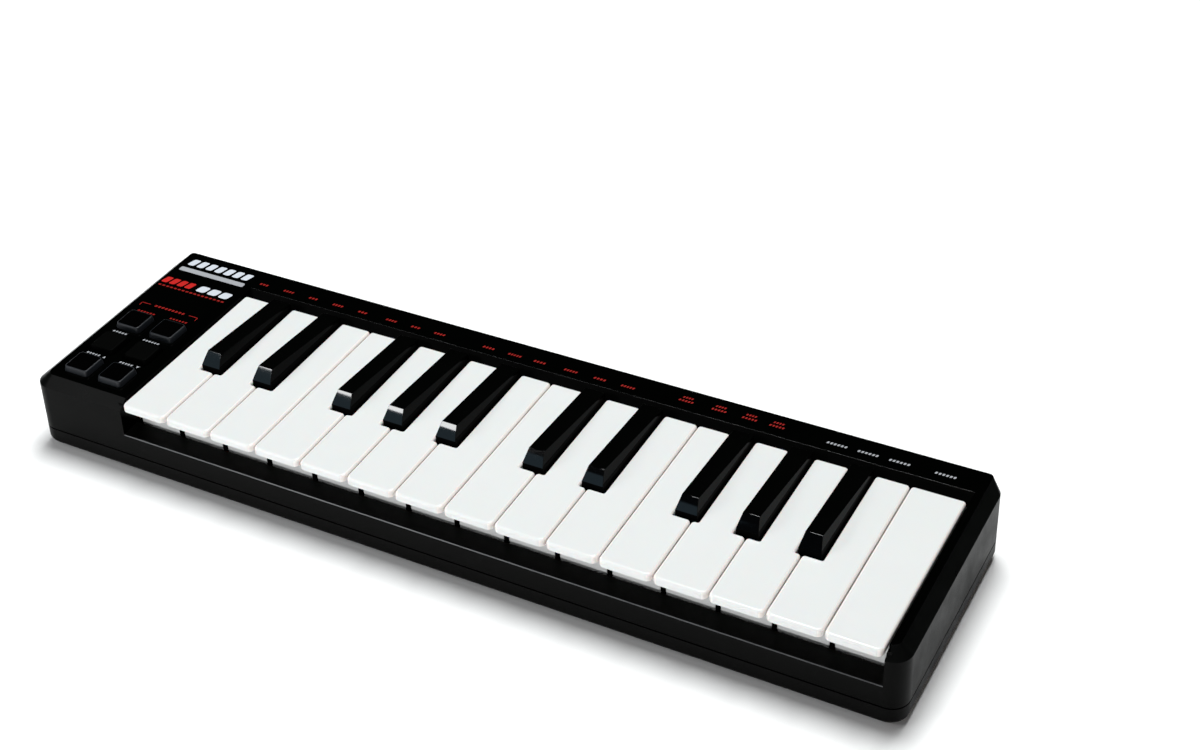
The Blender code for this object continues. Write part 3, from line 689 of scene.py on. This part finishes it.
def white_plan(name, inset, front, rear, radii):
    """Plan of a white key with its cuts beside black keys, drawn inwards by inset."""
    low, high = mm_box(name)
    left, right = low[0] + inset, high[0] - inset
    rear_left, rear_right = left, right
    step = 0.0
    for black in black_names():
        black_low, black_high = mm_box(black)
        if black_low[0] < low[0] < black_high[0]:
            rear_left = black_high[0] + CUT_GAP + inset
            step = black_low[1] - CUT_LEAD - inset
        if black_low[0] < high[0] < black_high[0]:
            rear_right = black_low[0] - CUT_GAP - inset
            step = black_low[1] - CUT_LEAD - inset
    front_corner, outer_corner, inner_corner, rear_corner = radii
    points = [(left, front), (right, front)]
    sizes = [front_corner, front_corner]
    if rear_right < right:
        points += [(right, step), (rear_right, step)]
        sizes += [outer_corner, inner_corner]
    points += [(rear_right, rear), (rear_left, rear)]
    sizes += [rear_corner, rear_corner]
    if rear_left > left:
        points += [(rear_left, step), (left, step)]
        sizes += [inner_corner, outer_corner]
    return soften(points, sizes)


def round_rim(item, height, width, segments):
    """Rounds the edges that bound the flat face at a height, in millimetres."""
    mesh = bmesh.new()
    mesh.from_mesh(item.data)
    edges = [
        edge
        for edge in mesh.edges
        if all(abs(v.co.z / MM - height) < 0.01 for v in edge.verts) and edge.calc_face_angle(0) > 0.5
    ]
    bmesh.ops.bevel(
        mesh, geom=edges, offset=width * MM, segments=segments, profile=0.5, affect="EDGES",
        clamp_overlap=True,
    )
    mesh.to_mesh(item.data)
    mesh.free()


def white_cap(name):
    """Cap of a white key, rounded all round its top and a little along its lower edge."""
    low, high = mm_box(name)
    top, bottom = high[2], high[2] - CAP_THICKNESS
    levels = []
    for turn in (0, 45, 90):
        sine, cosine = math.sin(math.radians(turn)), math.cos(math.radians(turn))
        levels.append((CAP_LOWER_ROUNDING * (1 - sine), bottom + CAP_LOWER_ROUNDING * (1 - cosine)))
    for turn in range(0, 91, 15):
        sine, cosine = math.sin(math.radians(turn)), math.cos(math.radians(turn))
        levels.append((CAP_ROUNDING * (1 - cosine), top - CAP_ROUNDING * (1 - sine)))
    front, outer, inner, rear = CAP_CORNERS
    loops = []
    for inset, z in levels:
        radii = (front - inset, outer - inset, inner + inset, rear - inset)
        plan = white_plan(name, inset, low[1] + inset, KEY_REAR - inset, radii)
        loops.append([(x, y, z) for x, y in plan])
    return loft(name + "_cap", loops)


def white_key(name, looks):
    """White key: softly rounded cap over a hollow body."""
    cap_bottom = mm_box(name)[1][2] - CAP_THICKNESS
    key = white_cap(name)
    body_rear = KEY_REAR - BODY_INSET
    walls = white_plan(name, BODY_INSET, BODY_FRONT, body_rear, (0.6, 0.3, 0.3, 0.6))
    add(key, prism("walls", walls, BODY_BOTTOM, cap_bottom + OVERLAP))
    inset = BODY_INSET + SKIN
    hollow = white_plan(name, inset, BODY_FRONT + SKIN, body_rear - SKIN, (0.3, 0.3, 0.3, 0.3))
    cut(key, prism("hollow", hollow, BODY_BOTTOM - PAST, cap_bottom - 0.7))
    tail(key, name, body_rear - 0.8)
    dress(key, looks["white"], looks["white_side_painted_light"], looks["white_under_cap_shade"])
    # Faces below the cap take the darker copy: painted shade under the cap's overhang
    for face in key.data.polygons:
        if face.center.z / MM < cap_bottom + 0.05:
            face.material_index = 2
        # Faces turned sideways take the lighter, warmer copy: painted warm light on the key sides
        elif abs(face.normal.x) > 0.3:
            face.material_index = 1
    shade(key)
    place(key, body_of_node(name), "key_white", name)


def tail(key, name, start):
    """Adds the narrow tail with its eye round the pivot rod."""
    plan = white_plan(name, 0, 0, 1, (0, 0, 0, 0)) if name.startswith("white") else None
    low, high = mm_box(name)
    if plan:
        rear = [x for x, y in plan if y > 0.5]
        left, right = min(rear), max(rear)
    else:
        left, right = low[0] - CUT_GAP, high[0] + CUT_GAP
    left, right = left + TAIL_INSET, right - TAIL_INSET
    pivot_low, pivot_high = mm_box("pivot_rod")
    centre = ((pivot_low[1] + pivot_high[1]) / 2, (pivot_low[2] + pivot_high[2]) / 2)
    tail_low, tail_high = centre[1] - TAIL_HALF, centre[1] + TAIL_HALF
    add(key, box("tail", (left, start, tail_low), (right, centre[0], tail_high)))
    add(key, bar("eye", circle(centre, EYE_RADIUS, 32), left, right))
    cut(key, bar("bore", circle(centre, EYE_BORE, 32), left - PAST, right + PAST))


def black_ring(name, rise):
    """Level of a black key from its shoulder, 0, to its top, 1, which falls towards the rear."""
    low, high = mm_box(name)
    centre, half = (low[0] + high[0]) / 2, (high[0] - low[0]) / 2
    draft = (half - BLACK_TOP_HALF) / (high[2] - BLACK_SHOULDER)
    front_rise = rise * (high[2] - BLACK_SHOULDER)
    rear_rise = rise * (BLACK_REAR_TOP - BLACK_SHOULDER)
    bulge = 4 * BLACK_BULGE * rise * (1 - rise)
    y = low[1] + rise * (BLACK_TOP_FRONT - low[1]) - bulge
    front, rear = (y, front_rise), (KEY_REAR, rear_rise)
    points = []
    for side, (along, lift) in ((-1, front), (1, front), (1, rear), (-1, rear)):
        points.append((centre + side * (half - draft * lift), along, BLACK_SHOULDER + lift))
    return points


def black_key(name, looks):
    """Black key: glossy, with a bulging front slope and softly rounded edges."""
    low, high = mm_box(name)
    white_top = mm_box(white_names()[0])[1][2]
    bottom = low[2] + BLACK_FOOT
    foot = [(x, y, bottom) for x, y, z in black_ring(name, 0)]
    key = loft(name + "_cap", [foot, *[black_ring(name, i / 6) for i in range(7)]])
    bevel(key, BLACK_ROUNDING, segments=6, angle=25)
    hollow_low = (low[0] + SKIN, low[1] + SKIN, bottom - PAST)
    cut(key, box("hollow", hollow_low, (high[0] - SKIN, KEY_REAR - SKIN, white_top - 0.5)))
    tail(key, name, KEY_REAR - 0.8)
    dress(key, looks["black"], looks["black_painted_side_shade"], looks["painted_shade"])
    for face in key.data.polygons:
        centre, normal = face.center / MM, face.normal
        # Below the shoulder: dead black with no reflection, painted shade down the key's lower sides
        if centre.z < BLACK_SHOULDER + 0.3:
            face.material_index = 2
        # Sides and rear of the top: dull copy of the black, painted shade; the front slope keeps the
        # gloss
        elif abs(normal.x) > 0.85 or centre.y > BLACK_TOP_FRONT + 0.6:
            face.material_index = 1
    shade(key)
    place(key, body_of_node(name), "key_black", name)


# Buttons -----------------------------------------------------------------------------


def button(name, looks):
    """Button cap: a smoke grey rim round a black face, or one plain rubber cap."""
    low, high = mm_box(name)
    centre = middle(name)
    top, seat = high[2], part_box("top_case")[1][2] / MM
    plain = "middle" in name
    base_size, top_size = PLAIN_SIZES if plain else LIT_SIZES
    if plain:
        top -= PLAIN_SINK
    levels = ((base_size, low[2]), (base_size, seat), (top_size, top))
    plans = [(square(centre, size, CAP_CORNER), z) for size, z in levels]
    cap = loft(name + "_cap", [[(x, y, z) for x, y in plan] for plan, z in plans])
    round_rim(cap, top, 0.35, 3)
    add(cap, prism("flange", square(centre, *BUTTON_FLANGE), low[2], low[2] + 1.2))
    body = body_of_node(name)
    if plain:
        dress(cap, looks["rubber_key"])
        shade(cap)
        place(cap, body, "button_plain", name)
        return
    floor = top - RECESS_DEPTH
    cut(cap, prism("recess", square(centre, *RECESS), floor, top + PAST))
    dress(cap, looks["rim"])
    shade(cap)
    place(cap, body, "button_lit", name)
    face_top = top - INSET_SINK
    face = prism(name + "_face", square(centre, *INSET), floor, face_top)
    round_rim(face, face_top, 0.12, 3)
    dress(face, looks["inset"])
    shade(face)
    place(face, body, "button_lit")


# Printing ----------------------------------------------------------------------------


def print_plate(name, shapes, look):
    """Thin printed marks on the top of the case, as one piece."""
    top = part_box("top_case")[1][2] / MM
    mesh = bmesh.new()
    for outline in shapes:
        low, high = [
            [mesh.verts.new(Vector((x, y, top + height)) * MM) for x, y in outline]
            for height in PRINT_HEIGHTS
        ]
        mesh.faces.new(low[::-1])
        mesh.faces.new(high)
        for i in range(len(low)):
            j = (i + 1) % len(low)
            mesh.faces.new((low[i], low[j], high[j], high[i]))
    data = bpy.data.meshes.new(name)
    mesh.to_mesh(data)
    mesh.free()
    item = bpy.data.objects.new(name, data)
    bpy.context.scene.collection.objects.link(item)
    dress(item, look)
    place(item, "case", "case_black")


def slab(x, y, width, height, lean=0.0):
    """Outline of a bar round a centre; lean shifts its rear end sideways, per height."""
    corner = min(width, height) * 0.25
    low, high = (x - width / 2, y - height / 2), (x + width / 2, y + height / 2)
    points = rounded(low, high, [corner] * 4, 3)
    return [(px + lean * (py - y), py) for px, py in points]


def blocks(x, y, width, height, count, filled=0.68, lean=0.0):
    """Outlines of a row of equal bars that fill a width round a centre."""
    pitch = width / (count - 1 + filled)
    start = x - width / 2 + pitch * filled / 2
    return [slab(start + i * pitch, y, pitch * filled, height, lean) for i in range(count)]


def wedge(x, y, size, way):
    """Outline of a small triangle that points along +Y, or along -Y if way is -1."""
    half = size / 2
    points = [(x - half, y - way * half), (x + half, y - way * half), (x, y + way * half)]
    return points if way > 0 else points[::-1]


def printing(looks):
    """Plain rows of bars, ticks and triangles where a controller carries its legends."""
    dark_reds, reds, whites, greys = [], [], [], []
    for i, x in enumerate((-125.4, -113.7, -102.2, -90.8, -79.5, -66.5, -55.7, -45.1)):
        dark_reds += blocks(x, LEGEND_Y, 3.6 + 0.8 * (i % 2), 1.1, 3 + i % 2, 0.6, SLANT)
    for i, x in enumerate((-23.9, -12.8, -2.4, 10.5, 22.3, 33.6)):
        dark_reds += blocks(x, LEGEND_Y, 4.6 + 0.6 * (i % 2), 1.1, 4 + i % 2, 0.6, SLANT)
    for x in (56.0, 68.7, 80.3, 90.6):
        dark_reds += blocks(x, 43.5, 3.8, 1.0, 4, 0.6, SLANT)
        dark_reds += blocks(x, 41.5, 5.4, 1.0, 5, 0.6, SLANT)
    for x in (113.0, 124.2, 135.4, 151.5):
        greys += blocks(x, 40.8, 7.2, 1.1, 6, 0.6, SLANT)
    whites += blocks(-147.5, 41.8, 29.0, 4.4, 7, 0.72, SLANT)
    greys += [slab(-148.0, 36.4, 31.0, 2.6)]
    reds += blocks(-157.4, 27.2, 14.0, 4.0, 4, 0.75, SLANT)
    whites += blocks(-140.2, 27.2, 15.0, 4.0, 3, 0.8, SLANT)
    dark_reds += blocks(-148.6, 23.2, 31.5, 0.8, 17, 0.65, SLANT)
    dark_reds += blocks(-149.0, 9.9, 14.0, 1.1, 9, 0.65, SLANT)
    dark_reds += [slab(-160.2, 9.9, 4.2, 0.3), slab(-137.6, 9.9, 4.2, 0.3)]
    dark_reds += [slab(-162.2, 9.0, 0.3, 2.1), slab(-135.6, 9.0, 0.3, 2.1)]
    for x, y in ((-156.4, 4.7), (-141.4, 5.3)):
        dark_reds += blocks(x, y, 8.0, 0.8, 6, 0.6, SLANT)
    for x, y, width, count in ((-157.2, -10.8, 6.4, 5), (-142.3, -10.9, 7.4, 6)):
        greys += blocks(x, y, width, 0.9, count, 0.6, SLANT)
    for x in (-157.6, -142.1):
        greys += blocks(x, -26.5, 6.0, 0.9, 5, 0.6, SLANT)
    greys += [wedge(-152.3, -26.5, 1.3, 1), wedge(-136.8, -26.5, 1.3, -1)]
    print_plate("printed_marks_dark_red", dark_reds, looks["print_dark_red"])
    print_plate("printed_marks_red", reds, looks["print_red"])
    print_plate("printed_marks_white", whites, looks["print_white"])
    print_plate("printed_marks_grey", greys, looks["print_grey"])


# Parts that stay as they are ---------------------------------------------------------


def carried_over(looks):
    """Better materials for the CAD nodes that keep their shape."""
    kept = {
        "key_frame": "chassis",
        "pivot_rod": "steel",
        "down_stop_felt": "felt",
        "up_stop_felt": "felt",
        "key_contact_board": "board",
        "control_board": "board",
        "contact_strip_left": "silicone",
        "contact_strip_right": "silicone",
        "button_membrane": "membrane",
        "ribbon_cable": "cable",
        "cable_socket": "socket",
    }
    kept.update({name: "foot" for name in nodes_named("foot")})
    for start in ("case_screw", "frame_screw", "board_screw"):
        kept.update({name: "screw" for name in nodes_named(start)})
    for name, look in kept.items():
        item = frame["nodes"][name]
        for material_slot in item.material_slots:
            material_slot.material = looks[look]


# Stage -------------------------------------------------------------------------------


def area_light(name, place_at, target, size, power, color=(1, 1, 1)):
    """Soft box that shines at a point."""
    data = bpy.data.lights.new(name, "AREA")
    data.shape = "RECTANGLE"
    data.size, data.size_y = size
    data.energy = power
    data.color = color
    item = bpy.data.objects.new(name, data)
    item.location = place_at
    item.rotation_euler = (Vector(target) - Vector(place_at)).to_track_quat("-Z", "Y").to_euler()
    bpy.context.scene.collection.objects.link(item)


def stage():
    """Floor, world, soft lights and camera."""
    floor = loft("floor", [[(x, y, z) for x, y in circle((0, 0), 6000, 96)] for z in (-2.0, 0.0)])
    paper = plastic("floor_paper", (0.93, 0.93, 0.93), 0.9, tint=0.005, Specular_IOR_Level=0.0)
    dress(floor, paper)
    world = bpy.data.worlds.new("studio")
    bpy.context.scene.world = world
    world.use_nodes = True
    background = world.node_tree.nodes["Background"]
    background.inputs["Color"].default_value = (0.9, 0.95, 1.0, 1)
    background.inputs["Strength"].default_value = 0.02
    area_light("overhead", (-0.03, 0.38, 1.50), (0, 0, 0), (0.72, 0.78), 32, (0.98, 1.0, 1.0))
    area_light("front_panel", (-0.30, -1.60, 0.15), (0, 0, 0.02), (2.4, 0.26), 21)
    area_light("window", (-0.66, -0.92, 0.76), (-0.03, 0, 0.03), (0.28, 0.15), 2.4)
    area_light("side_glow", (-0.85, -0.62, 1.05), (0, 0, 0.02), (0.5, 0.5), 1.6)
    area_light("sky_glow", (-0.72, -1.20, 0.58), (0, 0, 0.03), (0.7, 0.5), 0.55, (0.55, 0.82, 1.0))
    area_light("warm_side", (1.2, -0.2, 0.5), (0, 0, 0.02), (0.6, 0.6), 0.6, (1.0, 0.80, 0.68))
    data = bpy.data.cameras.new("camera")
    camera = bpy.data.objects.new("camera", data)
    bpy.context.scene.collection.objects.link(camera)
    camera.location = CAMERA_PLACE
    camera.rotation_euler = CAMERA_TURN
    data.lens = CAMERA_LENS
    data.sensor_width = 36.0
    data.shift_x, data.shift_y = CAMERA_SHIFT
    data.clip_start, data.clip_end = 0.01, 50.0
    bpy.context.scene.camera = camera
    bpy.context.scene.view_settings.view_transform = "Standard"


def main():
    """Makes every visible piece."""
    stage()
    looks = make_materials()
    top_case(looks)
    bottom_case(looks)
    for name in white_names():
        white_key(name, looks)
    for name in black_names():
        black_key(name, looks)
    for name in button_names():
        button(name, looks)
    printing(looks)
    carried_over(looks)


main()
